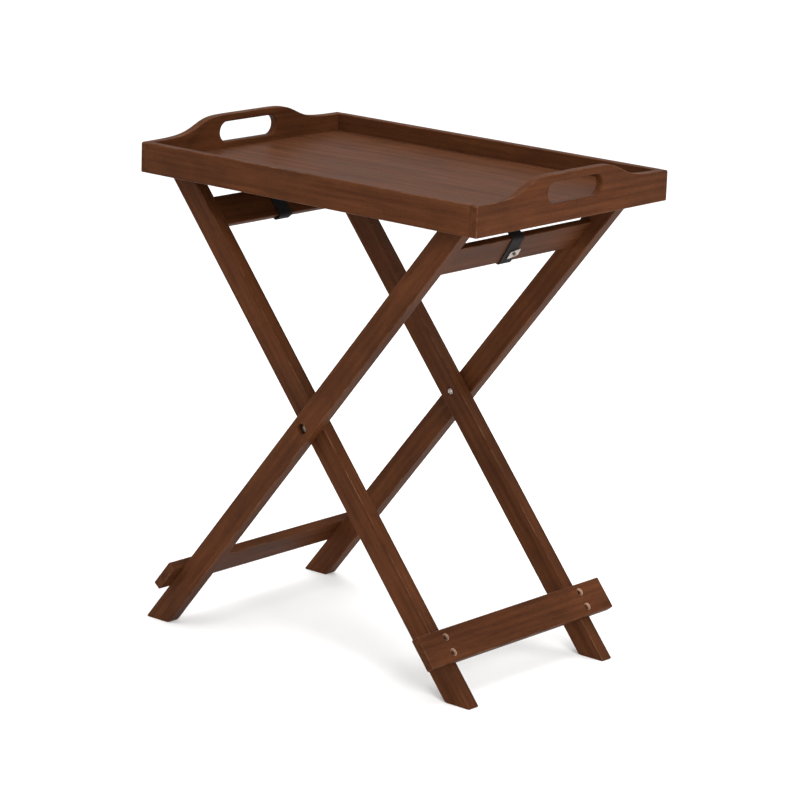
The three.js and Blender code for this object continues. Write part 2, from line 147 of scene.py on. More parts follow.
sky_links.new(direction.outputs["Generated"], height.inputs["Vector"])
sky_links.new(height.outputs["Z"], shades.inputs["Fac"])
sky_links.new(shades.outputs["Color"], sky_nodes["Background"].inputs["Color"])
sky_nodes["Background"].inputs["Strength"].default_value = SKY_STRENGTH

for name, spec in LAMPS.items():
    lamp = bpy.data.objects.new(name, bpy.data.lights.new(name, "AREA"))
    lamp.data.shape = "DISK"
    lamp.data.size = spec["size"]
    lamp.data.energy = spec["power"]
    lamp.location = spec["place"]
    lamp.rotation_euler = (LAMP_AIM - lamp.location).to_track_quat("-Z", "Y").to_euler()
    scene.collection.objects.link(lamp)


# ---- Tray: side boards -----------------------------------------------------------------------------
# The long front and back boards of the tray: planed hardwood with eased edges, glued between the end
# boards, and grooved on the inside for the bottom panel. The grain runs along them.
MM = 0.001
EASED = 1.6 * MM
BUTTED = 0.35 * MM
TONGUE_THICKNESS = 4 * MM
FIT_GAP = 0.3 * MM
WOOD_DARK = (0.041, 0.013, 0.0047, 1)
WOOD_MID = (0.061, 0.0203, 0.0074, 1)
WOOD_LIGHT = (0.08, 0.0285, 0.0108, 1)
# Lighter orange-brown for the eased edges: partly worn stain, partly a painted highlight along them.
WOOD_WORN_AND_LIT = (0.2, 0.1, 0.055, 1)


def outline(corners, radii, steps=4):
    """A closed outline, anticlockwise, with round corners. Each corner is a circle that touches both of
    its sides: the points turn round it from one side's outward direction to the next one's. Gives the
    points, their outward directions and how far round the bend they are (0, 1 at its middle, 0)."""
    corners = np.asarray(corners, float)
    radii = np.broadcast_to(radii, len(corners))
    back = corners - np.roll(corners, 1, axis=0)
    ahead = np.roll(corners, -1, axis=0) - corners
    back_out = np.stack([back[:, 1], -back[:, 0]], axis=1) / np.linalg.norm(back, axis=1)[:, None]
    ahead_out = np.stack([ahead[:, 1], -ahead[:, 0]], axis=1) / np.linalg.norm(ahead, axis=1)[:, None]
    facing = np.sum(back_out * ahead_out, axis=1)
    turning = np.arctan2(back_out[:, 0] * ahead_out[:, 1] - back_out[:, 1] * ahead_out[:, 0], facing)
    centre = corners - radii[:, None] * (back_out + ahead_out) / (1 + facing)[:, None]
    share = np.linspace(0, 1, steps + 1)
    angle = np.arctan2(back_out[:, 1], back_out[:, 0])[:, None] + turning[:, None] * share
    out = np.stack([np.cos(angle), np.sin(angle)], axis=2)
    points = centre[:, None] + radii[:, None, None] * out
    bend = np.broadcast_to(np.sin(np.pi * share), angle.shape)
    return points, out, bend


def rounded_ends(low, high, low_radius, high_radius, steps=4):
    """The stations of a straight run whose end edges are quarter circles: how far along each is, how far
    the outline is drawn in there, and how far round the bend. A radius below 0 flares out instead."""
    angle = np.linspace(0, np.pi / 2, steps + 1)[:, None]
    low_radius, high_radius = np.atleast_1d(low_radius), np.atleast_1d(high_radius)
    from_low = low + abs(low_radius) * (1 - np.cos(angle))
    from_high = high - abs(high_radius) * (1 - np.cos(angle[::-1]))
    drawn_low = low_radius * (1 - np.sin(angle))
    drawn_high = high_radius * (1 - np.sin(angle[::-1]))
    width = max(from_low.shape[1], from_high.shape[1])
    spread = (steps + 1, width)
    along = np.concatenate([np.broadcast_to(from_low, spread), np.broadcast_to(from_high, spread)])
    inset = np.concatenate([np.broadcast_to(drawn_low, spread), np.broadcast_to(drawn_high, spread)])
    bend = np.sin(2 * np.concatenate([angle, angle[::-1]]))
    return along, inset, bend


def carried(points, out, along, inset):
    """An outline carried straight along: at each station every point is drawn in against its own
    outward direction by the inset."""
    flat = points[None] - inset[..., None] * out[None]
    return np.concatenate([flat, np.broadcast_to(along, flat.shape[:2])[..., None]], axis=2)


def closed_tube(grid):
    """The faces of a grid of points, stations by points round each, closed by a face at each end."""
    stations, around = grid.shape[:2]
    here = np.arange(around)
    ahead = np.roll(here, -1)
    row = (np.arange(stations - 1) * around)[:, None]
    quads = np.stack([row + here, row + ahead, row + around + ahead, row + around + here], axis=-1)
    caps = [here[::-1].tolist(), (here + (stations - 1) * around).tolist()]
    return grid.reshape(-1, 3), quads.reshape(-1, 4).tolist() + caps


def placed(points, origin, axes):
    """Points measured along three axes from an origin, as points in the table's own frame."""
    return np.asarray(origin, float) + np.asarray(points) @ np.asarray(axes, float)


def new_piece(name, points, faces, material=None):
    """An object in the scene, from points and faces in the table's own frame."""
    mesh = bpy.data.meshes.new(name)
    mesh.from_pydata(points.tolist(), [], faces)
    if material:
        mesh.materials.append(material)
    piece = bpy.data.objects.new(name, mesh)
    scene.collection.objects.link(piece)
    return piece


def note(piece, name, values, each="POINT"):
    """Keeps a value, or a vector, for each point or face of a piece, for its material to read."""
    kind = "FLOAT_VECTOR" if values.ndim == 2 else "FLOAT"
    key = "vector" if values.ndim == 2 else "value"
    kept = piece.data.attributes.new(name, kind, each)
    kept.data.foreach_set(key, values.astype(np.float32).ravel())


def settle(piece):
    """Works the modifiers of a piece into its mesh."""
    graph = bpy.context.evaluated_depsgraph_get()
    piece.data = bpy.data.meshes.new_from_object(piece.evaluated_get(graph))
    piece.modifiers.clear()


def note_worn_and_lit_edges(piece, faces, bend, end_bend):
    """Notes how far round an eased edge each face of a carried outline is: the mean of its points' bends,
    or 0 for the two flat ends. The materials lighten eased edges by it: partly wear, partly painted
    highlight."""
    worn_and_lit = np.maximum(bend.ravel()[None], end_bend * np.ones(bend.size)).ravel()
    note(piece, "edge", np.append(worn_and_lit[np.array(faces[:-2])].mean(axis=1), [0, 0]), "FACE")


def bored(piece, cutters, lining=None):
    """Cuts closed shapes, given as points and faces, out of a piece. The new faces take the lining."""
    starts = np.cumsum([0] + [len(points) for points, _ in cutters])
    points = np.concatenate([points for points, _ in cutters])
    faces = [[int(start) + i for i in face] for start, (_, shape) in zip(starts, cutters) for face in shape]
    tool = new_piece("tool", points, faces, lining)
    cut = piece.modifiers.new("cut", "BOOLEAN")
    cut.material_mode = "TRANSFER"
    cut.operation = "DIFFERENCE"
    cut.solver = "EXACT"
    cut.object = tool
    settle(piece)
    bpy.data.objects.remove(tool)


def smoothed(piece, sharp=math.radians(38)):
    """Shades a piece smooth over its eased edges and flat on its faces."""
    piece.data.polygons.foreach_set("use_smooth", np.ones(len(piece.data.polygons), bool))
    piece.data.set_sharp_from_angle(angle=sharp)
    weigh = piece.modifiers.new("weigh", "WEIGHTED_NORMAL")
    weigh.keep_sharp = True
    settle(piece)


def points_of(piece):
    """The points of a piece's mesh, one row each."""
    found = np.zeros(len(piece.data.vertices) * 3, np.float32)
    piece.data.vertices.foreach_get("co", found)
    return found.reshape(-1, 3).astype(float)


def grained(piece, origin, grain, width, number):
    """Gives a wooden piece its own place in the log: lengths along the grain and across it, with a shift
    that differs from piece to piece."""
    across = np.cross(grain, width)
    place = (points_of(piece) - np.asarray(origin)) @ np.stack([grain, width, across], axis=1)
    note(piece, "grain_place", place + number * np.array([0.713, 0.161, 0.097]))


def node(tree, kind, links=None, **values):
    """Adds a shader node, sets its options and unlinked sockets, and links the others."""
    made = tree.nodes.new(kind)
    for key, value in values.items():
        if hasattr(made, key):
            setattr(made, key, value)
        else:
            made.inputs[key.replace("_", " ")].default_value = value
    for key, source in (links or {}).items():
        tree.links.new(source, made.inputs[key])
    return made


def ramp(tree, source, stops):
    """A colour for each value of a socket, run evenly between stops of a position and a colour."""
    made = node(tree, "ShaderNodeValToRGB", {"Fac": source})
    while len(made.color_ramp.elements) < len(stops):
        made.color_ramp.elements.new(0.5)
    for element, (position, colour) in zip(made.color_ramp.elements, stops):
        element.position = position
        element.color = colour
    return made.outputs["Color"]


def mixed(tree, blend, factor, first, second):
    """A colour mix; each of factor, first and second is a socket or a value."""
    made = tree.nodes.new("ShaderNodeMix")
    made.data_type = "RGBA"
    made.blend_type = blend
    for place, value in ((0, factor), (6, first), (7, second)):
        if isinstance(value, bpy.types.NodeSocket):
            tree.links.new(value, made.inputs[place])
        else:
            made.inputs[place].default_value = value
    return made.outputs[2]


def sum_of(tree, terms, start=0.0):
    """start + the sum of each socket times its weight."""
    total = None
    for source, weight in terms:
        links = {0: source} if total is None else {0: source, 2: total}
        made = tree.nodes.new("ShaderNodeMath")
        made.operation = "MULTIPLY_ADD"
        made.inputs[1].default_value = weight
        made.inputs[2].default_value = start
        for place, link in links.items():
            tree.links.new(link, made.inputs[place])
        total = made.outputs[0]
    return total


def stretched_noise(tree, place, scale, detail=4.0, roughness=0.55, distortion=0.0):
    """Noise drawn out along the grain; scale gives its repeats a metre along and across."""
    mapping = node(tree, "ShaderNodeMapping", {"Vector": place}, Scale=(scale[0], scale[1], scale[1]))
    noise = node(
        tree, "ShaderNodeTexNoise", {"Vector": mapping.outputs["Vector"]},
        Scale=1.0, Detail=detail, Roughness=roughness, Distortion=distortion,
    )
    return noise.outputs["Fac"]


def stained_wood(name, dark, mid, light, worn_and_lit, rough, blotch=0.35, shine=0.03):
    """Stained and lacquered wood. Growth rings, streaks, fibres and pores all follow grain_place; the
    stain lies in soft blotches, and is lightened along the piece's eased edges: partly stain rubbed thin,
    partly a painted highlight where light catches the rounded edges."""
    material = bpy.data.materials.new(name)
    material.use_nodes = True
    tree = material.node_tree
    shader = tree.nodes["Principled BSDF"]
    place = node(tree, "ShaderNodeAttribute", attribute_name="grain_place").outputs["Vector"]
    edge = node(tree, "ShaderNodeAttribute", attribute_name="edge").outputs["Fac"]

    tilt = node(tree, "ShaderNodeMapping", {"Vector": place}, Scale=(2.2, 34, 34), Rotation=(0, 0.03, 0.02))
    rings = node(
        tree, "ShaderNodeTexWave", {"Vector": tilt.outputs["Vector"]},
        wave_type="RINGS", rings_direction="X", Scale=1.0, Distortion=5.0, Detail=2.0,
        Detail_Scale=0.6,
    ).outputs["Fac"]
    streaks = stretched_noise(tree, place, (6, 120), detail=5, distortion=0.3)
    fibres = stretched_noise(tree, place, (28, 1300), detail=3)
    pores = stretched_noise(tree, place, (110, 2600), detail=2, roughness=0.4)
    clouds = stretched_noise(tree, place, (9, 16), detail=3, distortion=0.6)

    figure = sum_of(tree, [(rings, 0.07), (streaks, 0.6), (fibres, 0.28)])
    colour = ramp(tree, figure, [(0.3, dark), (0.48, mid), (0.68, light)])
    shade = ramp(tree, clouds, [(0.3, (0.62, 0.62, 0.66, 1)), (0.7, (1.22, 1.16, 1.12, 1))])
    colour = mixed(tree, "MULTIPLY", blotch * 2, colour, shade)
    pits = ramp(tree, pores, [(0.58, (1, 1, 1, 1)), (0.68, (0.45, 0.42, 0.4, 1))])
    colour = mixed(tree, "MULTIPLY", 0.7, colour, pits)
    # The eased edges are mixed towards a lighter colour: partly worn stain, partly a painted highlight of
    # the rounded edges.
    wear_and_highlight_noise = stretched_noise(tree, place, (30, 55), detail=4, roughness=0.7)
    wear_and_highlight_mask = ramp(tree, sum_of(tree, [(edge, 0.4), (wear_and_highlight_noise, 1.0)], -0.2),
                  [(0.58, (0, 0, 0, 1)), (0.86, (0.6, 0.6, 0.6, 1))])
    amount = mixed(tree, "MULTIPLY", 1.0, wear_and_highlight_mask, edge)
    colour = mixed(tree, "MIX", amount, colour, worn_and_lit)
    tree.links.new(colour, shader.inputs["Base Color"])

    gloss = sum_of(tree, [(fibres, 0.14), (clouds, 0.16), (pores, 0.1)], rough - 0.2)
    tree.links.new(gloss, shader.inputs["Roughness"])
    shader.inputs["Specular IOR Level"].default_value = shine

    skin = stretched_noise(tree, place, (60, 90), detail=2)
    relief = sum_of(tree, [(fibres, 0.55), (pores, -0.5), (streaks, 0.35), (skin, 0.6)])
    bump = node(tree, "ShaderNodeBump", {"Height": relief}, Strength=0.35, Distance=0.0004)
    tree.links.new(bump.outputs["Normal"], shader.inputs["Normal"])
    return material


frame_wood = stained_wood("frame_wood", WOOD_DARK, WOOD_MID, WOOD_LIGHT, WOOD_WORN_AND_LIT, 0.46)
X_AXIS, Y_AXIS, Z_AXIS = np.eye(3)
ORIGIN = np.zeros(3)
panel_low, panel_high = (np.array(corner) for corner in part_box("tray_bottom_panel"))


def box_of(node_name):
    """The lowest and the highest corner of a part at rest."""
    low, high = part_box(node_name)
    return np.array(low), np.array(high)


def block(low, high):
    """A plain block, as a shape to cut with."""
    corners = [(low[0], low[1]), (high[0], low[1]), (high[0], high[1]), (low[0], high[1])]
    walls = np.array([[(x, y, z) for x, y in corners] for z in (low[2], high[2])])
    return closed_tube(walls)


groove_low = panel_low - np.array([0, 0, FIT_GAP])
groove_high = np.array([panel_high[0], panel_high[1], panel_low[2] + TONGUE_THICKNESS + FIT_GAP])

for number, (name, cad) in enumerate((("front", "tray_front_board"), ("back", "tray_back_board"))):
    low, high = box_of(cad)
    corners = [(low[1], low[2]), (high[1], low[2]), (high[1], high[2]), (low[1], high[2])]
    points, out, bend = outline(corners, EASED)
    along, inset, end_bend = rounded_ends(low[0], high[0], BUTTED, BUTTED)
    grid = carried(points.reshape(-1, 2), out.reshape(-1, 2), along, inset)
    shape, faces = closed_tube(placed(grid, ORIGIN, (Y_AXIS, Z_AXIS, X_AXIS)))
    board = new_piece(f"{name}_side_board", shape, faces, frame_wood)
    note_worn_and_lit_edges(board, faces, bend, np.zeros_like(end_bend))
    bored(board, [block(groove_low - X_AXIS, groove_high + X_AXIS)])
    smoothed(board)
    grained(board, low, X_AXIS, Z_AXIS, number)
    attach(board, "tray")
    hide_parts(cad)


# ---- Tray: end boards ------------------------------------------------------------------------------
# The short boards stand over the ends of the side boards. Their top swells in the middle into a handle,
# above a long hole for the fingers with well rounded edges.
HANDLE_RISE = 23.6 * MM
HANDLE_HALF_WIDTH = 104 * MM
HANDLE_STEEPNESS = 7.6
HANDLE_STEPS = 160
RIM_TOP = box_of("tray_front_board")[1][2]
TOP_CORNER = 3.0 * MM
BOTTOM_CORNER = 1.8 * MM
HOLE_HALF = np.array([58, 14.2]) * MM
HOLE_CENTRE_HEIGHT = 40.8 * MM
HOLE_EDGE = 2.2 * MM
FULL_ROUND = 0.999
END_BOARD_GRAIN = 3


def handle_rise(y):
    """How far the handle stands above the rim: full at the middle, falling away on both sides."""
    return HANDLE_RISE / (1 + (np.abs(y) / HANDLE_HALF_WIDTH) ** HANDLE_STEEPNESS)


def handle_outline(half, bottom, top):
    """The end board's outline: a rectangle with round corners, whose top edge is lifted by the handle's
    rise. The lifted points face square to the curve."""
    corners = [(-half, bottom), (half, bottom), (half, top), (-half, top)]
    radii = [BOTTOM_CORNER, BOTTOM_CORNER, TOP_CORNER, TOP_CORNER]
    points, out, bend = outline(corners, radii)
    y = np.linspace(half - TOP_CORNER, TOP_CORNER - half, HANDLE_STEPS)[1:-1]
    slope = np.gradient(handle_rise(y), y)
    facing = np.stack([-slope, np.ones_like(slope)], axis=1) / np.sqrt(1 + slope**2)[:, None]
    crest = np.stack([y, top + handle_rise(y)], axis=1)
    points[2:, :, 1] += handle_rise(half)
    points = np.concatenate([points[:3].reshape(-1, 2), crest, points[3]])
    out = np.concatenate([out[:3].reshape(-1, 2), facing, out[3]])
    bend = np.concatenate([bend[:3].ravel(), np.zeros(len(y)), bend[3]])
    return points, out, bend


def finger_hole(centre, low, high):
    """A long hole with round ends, flared at both faces, as a shape to cut with."""
    corners = [centre + HOLE_HALF * sign for sign in ((-1, -1), (1, -1), (1, 1), (-1, 1))]
    points, out, _ = outline(corners, HOLE_HALF[1] * FULL_ROUND, steps=14)
    along, inset, _ = rounded_ends(low, high, -HOLE_EDGE, -HOLE_EDGE, steps=5)
    along = np.concatenate([[[low - HOLE_EDGE]], along, [[high + HOLE_EDGE]]])
    inset = np.concatenate([inset[:1], inset, inset[-1:]])
    return carried(points.reshape(-1, 2), out.reshape(-1, 2), along, inset)


for number, (name, side, cad) in enumerate(
    (("left", -1, "tray_left_handle_board"), ("right", 1, "tray_right_handle_board"))
):
    low, high = box_of(cad)
    axes = np.array([side * Y_AXIS, Z_AXIS, side * X_AXIS])
    inside, outside = sorted(abs(np.array([low[0], high[0]])))
    points, out, bend = handle_outline(high[1], low[2], RIM_TOP)
    inner_edge = np.where(out[:, 1] > 0.3, EASED, BUTTED)
    along, inset, end_bend = rounded_ends(inside, outside, inner_edge, EASED)
    grid = carried(points, out, along, inset)
    shape, faces = closed_tube(placed(grid, ORIGIN, axes))
    board = new_piece(f"{name}_end_board", shape, faces, frame_wood)
    note_worn_and_lit_edges(board, faces, bend, end_bend)
    hole = finger_hole(np.array([0, low[2] + HOLE_CENTRE_HEIGHT]), inside, outside)
    bored(board, [closed_tube(placed(hole, ORIGIN, axes)), block(groove_low, groove_high)])
    smoothed(board)
    grained(board, low, Y_AXIS, Z_AXIS, number + END_BOARD_GRAIN)
    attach(board, "tray")
    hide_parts(cad)


# ---- Tray: bottom panel ----------------------------------------------------------------------------
# A thin veneered panel, rebated round its edge so that a tongue sits in the grooves of the four boards.
# Its stain is a little paler and more even than the boards'.
PANEL_EDGE = 0.4 * MM
SHOULDER = 4.3 * MM
PANEL_DARK = (0.046, 0.0165, 0.0075, 1)
PANEL_MID = (0.07, 0.0265, 0.012, 1)
PANEL_LIGHT = (0.096, 0.039, 0.0185, 1)
PANEL_GRAIN = 6

panel_wood = stained_wood(
    "panel_wood", PANEL_DARK, PANEL_MID, PANEL_LIGHT, WOOD_WORN_AND_LIT, 0.42, blotch=0.25, shine=0.015
)
corners = [(panel_low[0], panel_low[1]), (panel_high[0], panel_low[1]),
           (panel_high[0], panel_high[1]), (panel_low[0], panel_high[1])]
points, out, _ = outline(corners, SHOULDER + PANEL_EDGE * 2, steps=4)
tongue_top = panel_low[2] + TONGUE_THICKNESS
heights = np.array([panel_low[2], panel_low[2] + PANEL_EDGE, tongue_top - PANEL_EDGE, tongue_top,
                    tongue_top, panel_high[2] - PANEL_EDGE, panel_high[2]])
drawn_in = np.array([PANEL_EDGE, 0, 0, PANEL_EDGE, SHOULDER, SHOULDER, SHOULDER + PANEL_EDGE])
grid = carried(points.reshape(-1, 2), out.reshape(-1, 2), heights[:, None], drawn_in[:, None])
shape, faces = closed_tube(grid)
panel = new_piece("bottom_panel", shape, faces, panel_wood)
note(panel, "edge", np.zeros(len(shape)))
smoothed(panel)
grained(panel, panel_low, X_AXIS, Y_AXIS, PANEL_GRAIN)
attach(panel, "tray")
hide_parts("tray_bottom_panel")


# ---- Stand: legs -----------------------------------------------------------------------------------
# Four straight legs, two to a frame. Each is cut level at the foot, with a rounded heel, and level and
# plumb at the top, and is bored for the pivot bolt, the rail's dowels and the bar's screws.
HINGE = next(joint for joint in frame["joints"] if joint["name"] == "stand_fold")
PIVOT = np.array(HINGE["pos_m"], float)
LEG_HALF = 17.1 * MM
LEG_TOP_REACH = 274.5 * MM
LEG_TOP = panel_low[2] - FIT_GAP - PIVOT[2]
HEEL_RADIUS = 8 * MM
LEG_EASED = 1.5 * MM
END_SHARE = 0.95
LEG_GRAIN = 8
RAIL_THICKNESS = 9.5 * MM
BAR_THICKNESS = 13 * MM
BORE = 3.3 * MM
HAIRLINE = 0.001 * MM
BOLT_RECESS = {"radius": 7.4 * MM, "depth": 10 * MM}
NUT_RECESS = {"radius": 5.8 * MM, "depth": 4 * MM}
SCREW_BORE = 2.3 * MM
SCREW_SINK = 5.2 * MM
SCREW_LENGTH = 32 * MM
SCREW_HEAD_HEIGHT = 2.4 * MM
SCREW_RECESS = 3 * MM
SCREW_RIM_EASE = 0.25 * MM
BOLT_RIM_EASE = 0.4 * MM
SCREW_SPACING = 23 * MM
DOWEL_RADIUS = 3 * MM
DOWEL_LENGTH = 24 * MM
DOWEL_SPACING = 24 * MM
BAR_TOP = LEG_HALF + FIT_GAP + BAR_THICKNESS


def leaned(angle, side):
    """The axes of a frame: up along its legs, out to their upper edges, and the third across."""
    up = np.array([side * math.cos(angle), 0, math.sin(angle)])
    out = np.array([-side * math.sin(angle), 0, math.cos(angle)])
    return np.array([up, out, np.cross(up, out)])


FRAMES = {
    "outer": {
        "angle": math.radians(51.4),
        "side": 1,
        "rail": (303 * MM, 354 * MM),
        "bar": (-372 * MM, -326 * MM),
    },
    "inner": {
        "angle": math.radians(50.6),
        "side": -1,
        "rail": (312.5 * MM, 357.5 * MM),
        "bar": (-378 * MM, -330.5 * MM),
    },
}
for spec in FRAMES.values():
    spec["axes"] = leaned(spec["angle"], spec["side"])


def turned(radii, heights, sides=32):
    """A turned form: rows of a radius and a height carried round an axis."""
    angle = 2 * np.pi * np.arange(sides) / sides
    radii, heights = np.broadcast_arrays(np.atleast_2d(radii).reshape(len(radii), -1),
                                         np.atleast_2d(heights).reshape(len(heights), -1))
    radii = radii * np.ones(sides)
    heights = heights * np.ones(sides)
    return np.stack([radii * np.cos(angle), radii * np.sin(angle), heights], axis=2)


def aimed(grid, centre, axis):
    """A turned form with its own axis laid along another one, from a centre."""
    axis = np.asarray(axis, float)
    side = np.cross(axis, Z_AXIS if abs(axis[2]) < 0.9 else X_AXIS)
    side /= np.linalg.norm(side)
    return placed(grid, centre, (side, np.cross(axis, side), axis))


def in_frame(axes, along, out, y):
    """A point of a frame, from its place along the legs and out from them, and its Y."""
    return PIVOT + along * axes[0] + out * axes[1] + y * Y_AXIS


def leg_outline(angle):
    """A leg's outline in its frame's plane: two long edges, cut off level at the foot and plumb and level
    at the top, with a rounded heel."""
    rise, run = math.sin(angle), math.cos(angle)
    corners = [
        ((LEG_HALF * run - PIVOT[2]) / rise, -LEG_HALF),
        ((LEG_TOP_REACH - LEG_HALF * rise) / run, -LEG_HALF),
        (LEG_TOP * rise + LEG_TOP_REACH * run, LEG_TOP * run - LEG_TOP_REACH * rise),
        ((LEG_TOP - LEG_HALF * run) / rise, LEG_HALF),
        (-(LEG_HALF * run + PIVOT[2]) / rise, LEG_HALF),
    ]
    return outline(corners, [HEEL_RADIUS, LEG_EASED, LEG_EASED, LEG_EASED, LEG_EASED], steps=5)


def pair(span, spacing):
    """Two places either side of a span's middle."""
    middle = (span[0] + span[1]) / 2
    return (middle - spacing / 2, middle + spacing / 2)


def dowel_bores(spec, y, side):
    """The bores for a rail's dowels at the leg's inner face at y."""
    half = DOWEL_LENGTH / 2 + FIT_GAP
    rod = turned([DOWEL_RADIUS + FIT_GAP] * 2, [-half, half], 16)
    return [
        closed_tube(aimed(rod, in_frame(spec["axes"], place, RAIL_THICKNESS / 2, y), side * Y_AXIS))
        for place in pair(spec["rail"], DOWEL_SPACING)
    ]


def screw_bores(spec, y):
    """The bores for a bar's screws, with a wider sunk mouth whose rim is eased."""
    tip = BAR_TOP - SCREW_RECESS - SCREW_LENGTH - FIT_GAP
    seat = BAR_TOP - SCREW_RECESS - SCREW_HEAD_HEIGHT - FIT_GAP
    ease = SCREW_RIM_EASE
    radii = [SCREW_BORE, SCREW_BORE, SCREW_SINK, SCREW_SINK, SCREW_SINK + ease, SCREW_SINK + 2 * ease]
    heights = [tip, seat, seat + HAIRLINE, BAR_TOP - ease, BAR_TOP, BAR_TOP + 2 * ease]
    form = turned(radii, heights)
    return [
        closed_tube(aimed(form, in_frame(spec["axes"], place, 0, y), spec["axes"][1]))
        for place in pair(spec["bar"], SCREW_SPACING)
    ]


def pivot_bore(low, high, recess, at_high):
    """The bolt's bore through a leg, with a recess sunk in one face, whose rim is eased."""
    ease = BOLT_RIM_EASE
    radius, depth = recess["radius"], recess["depth"]
    radii = np.array([BORE, BORE, radius, radius, radius + ease, radius + 2 * ease])
    seat = high - depth
    heights = np.array([low - 1 * MM, seat, seat + HAIRLINE, high - ease, high, high + ease])
    if not at_high:
        heights = low + high - heights
        radii, heights = radii[::-1], heights[::-1]
    return turned(radii, heights, 48)


for number, (body, place) in enumerate(
    (body, place) for body in ("outer", "inner") for place in ("front", "back")
):
    spec = FRAMES[body]
    cad = f"{body}_leg_{place}"
    low, high = box_of(cad)
    middle = (low[1] + high[1]) / 2
    side = 1 if middle > 0 else -1
    inner_face = side * min(abs(low[1]), abs(high[1]))
    facing = spec["axes"][2][1]
    ends = sorted([facing * low[1], facing * high[1]])
    points, out, bend = leg_outline(spec["angle"])
    points, out, bend = points.reshape(-1, 2), out.reshape(-1, 2), bend.ravel()
    along, inset, end_bend = rounded_ends(ends[0], ends[1], LEG_EASED * END_SHARE, LEG_EASED * END_SHARE)
    grid = carried(points, out, along, inset)
    shape, faces = closed_tube(placed(grid, PIVOT, spec["axes"]))
    leg = new_piece(f"{body}_{place}_leg", shape, faces, frame_wood)
    note_worn_and_lit_edges(leg, faces, bend, end_bend)
    recess = BOLT_RECESS if body == "outer" else NUT_RECESS
    recess_up = (side > 0) == (body == "outer")
    bolt_hole = pivot_bore(low[1], high[1], recess, recess_up)
    cutters = [closed_tube(aimed(bolt_hole, PIVOT, Y_AXIS))]
    cutters += dowel_bores(spec, inner_face, side) + screw_bores(spec, middle)
    bored(leg, cutters)
    smoothed(leg)
    grained(leg, PIVOT, spec["axes"][0], spec["axes"][1], number + LEG_GRAIN)
    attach(leg, f"{body}_frame")
    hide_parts(cad)


# ---- Stand: upper rails and lower bars ---------------------------------------------------------------
# A thin rail is dowelled between the tops of each frame's legs. A broader bar lies across the upper edges
# of its feet, past both legs, and is screwed down with two screws a leg in wide sunk holes.
RAIL_GRAIN = 13
BAR_GRAIN = 16
WOOD_RAW = (0.4, 0.25, 0.175, 1)
RAW_DARK = (0.3, 0.18, 0.12, 1)
RAW_LIGHT = (0.5, 0.33, 0.24, 1)

raw_wood = stained_wood("raw_wood", RAW_DARK, WOOD_RAW, RAW_LIGHT, WOOD_RAW, 0.8)


def crossbar(name, spec, span, out_low, out_high, end, eased, end_radius, cutters):
    """A straight board across a frame, from its span along the legs and its two faces. The walls of its
    sunk holes show bare wood; the seats at their bottom are stained."""
    seat = BAR_TOP - SCREW_RECESS - SCREW_HEAD_HEIGHT - FIT_GAP
    corners = [(span[0], out_low), (span[1], out_low), (span[1], out_high), (span[0], out_high)]
    points, out, bend = outline(corners, eased)
    points, out, bend = points.reshape(-1, 2), out.reshape(-1, 2), bend.ravel()
    along, inset, end_bend = rounded_ends(-end, end, end_radius, end_radius)
    grid = carried(points, out, along, inset)
    shape, faces = closed_tube(placed(grid, PIVOT, spec["axes"]))
    piece = new_piece(name, shape, faces, frame_wood)
    note_worn_and_lit_edges(piece, faces, bend, end_bend)
    bored(piece, cutters, raw_wood)
    for face in piece.data.polygons:
        if (np.array(face.center) - PIVOT) @ spec["axes"][1] < seat + 0.1 * MM:
            face.material_index = 0
    smoothed(piece)
    return piece


for number, (body, spec) in enumerate(FRAMES.items()):
    rail_cad, bar_cad = f"{body}_top_rail", f"{body}_lower_bar"
    leg_low, leg_high = box_of(f"{body}_leg_back")
    rail_end = box_of(rail_cad)[1][1]
    cutters = dowel_bores(spec, leg_low[1], 1) + dowel_bores(spec, -leg_low[1], -1)
    rail = crossbar(f"{body}_rail", spec, spec["rail"], 0, RAIL_THICKNESS, rail_end, EASED, BUTTED, cutters)
    grained(rail, PIVOT, Y_AXIS, spec["axes"][0], number + RAIL_GRAIN)

    leg_middle = (leg_low[1] + leg_high[1]) / 2
    bar_end = box_of(bar_cad)[1][1]
    cutters = screw_bores(spec, leg_middle) + screw_bores(spec, -leg_middle)
    bar = crossbar(
        f"{body}_bar", spec, spec["bar"], BAR_TOP - BAR_THICKNESS, BAR_TOP,
        bar_end, EASED, EASED * END_SHARE, cutters,
    )
    grained(bar, PIVOT, Y_AXIS, spec["axes"][0], number + BAR_GRAIN)
    for piece, cad in ((rail, rail_cad), (bar, bar_cad)):
        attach(piece, f"{body}_frame")
        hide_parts(cad)


# ---- Stand: dowels ---------------------------------------------------------------------------------
# Short beech dowels, fluted along their sides for the glue, hidden in the ends of the upper rails.
FLUTES = 12
FLUTE_DEPTH = 0.18 * MM
DOWEL_CHAMFER = 0.8 * MM
DOWEL_TAPER = 0.7
BEECH_DARK = (0.36, 0.22, 0.1, 1)
BEECH = (0.5, 0.33, 0.17, 1)
BEECH_LIGHT = (0.62, 0.44, 0.25, 1)

dowel_wood = stained_wood("dowel_wood", BEECH_DARK, BEECH, BEECH_LIGHT, BEECH, 0.75, blotch=0.1)


def fluted_dowel():
    """A rod whose radius dips at each flute, with chamfered ends."""
    half = DOWEL_LENGTH / 2
    angle = 2 * np.pi * np.arange(FLUTES * 4) / (FLUTES * 4)
    flute = FLUTE_DEPTH * (1 - np.cos(FLUTES * angle)) / 2
    heights = np.array([-half, DOWEL_CHAMFER - half, half - DOWEL_CHAMFER, half])
    taper = np.array([DOWEL_CHAMFER, 0, 0, DOWEL_CHAMFER]) * DOWEL_TAPER
    return turned(DOWEL_RADIUS - taper[:, None] - flute, heights[:, None], FLUTES * 4)


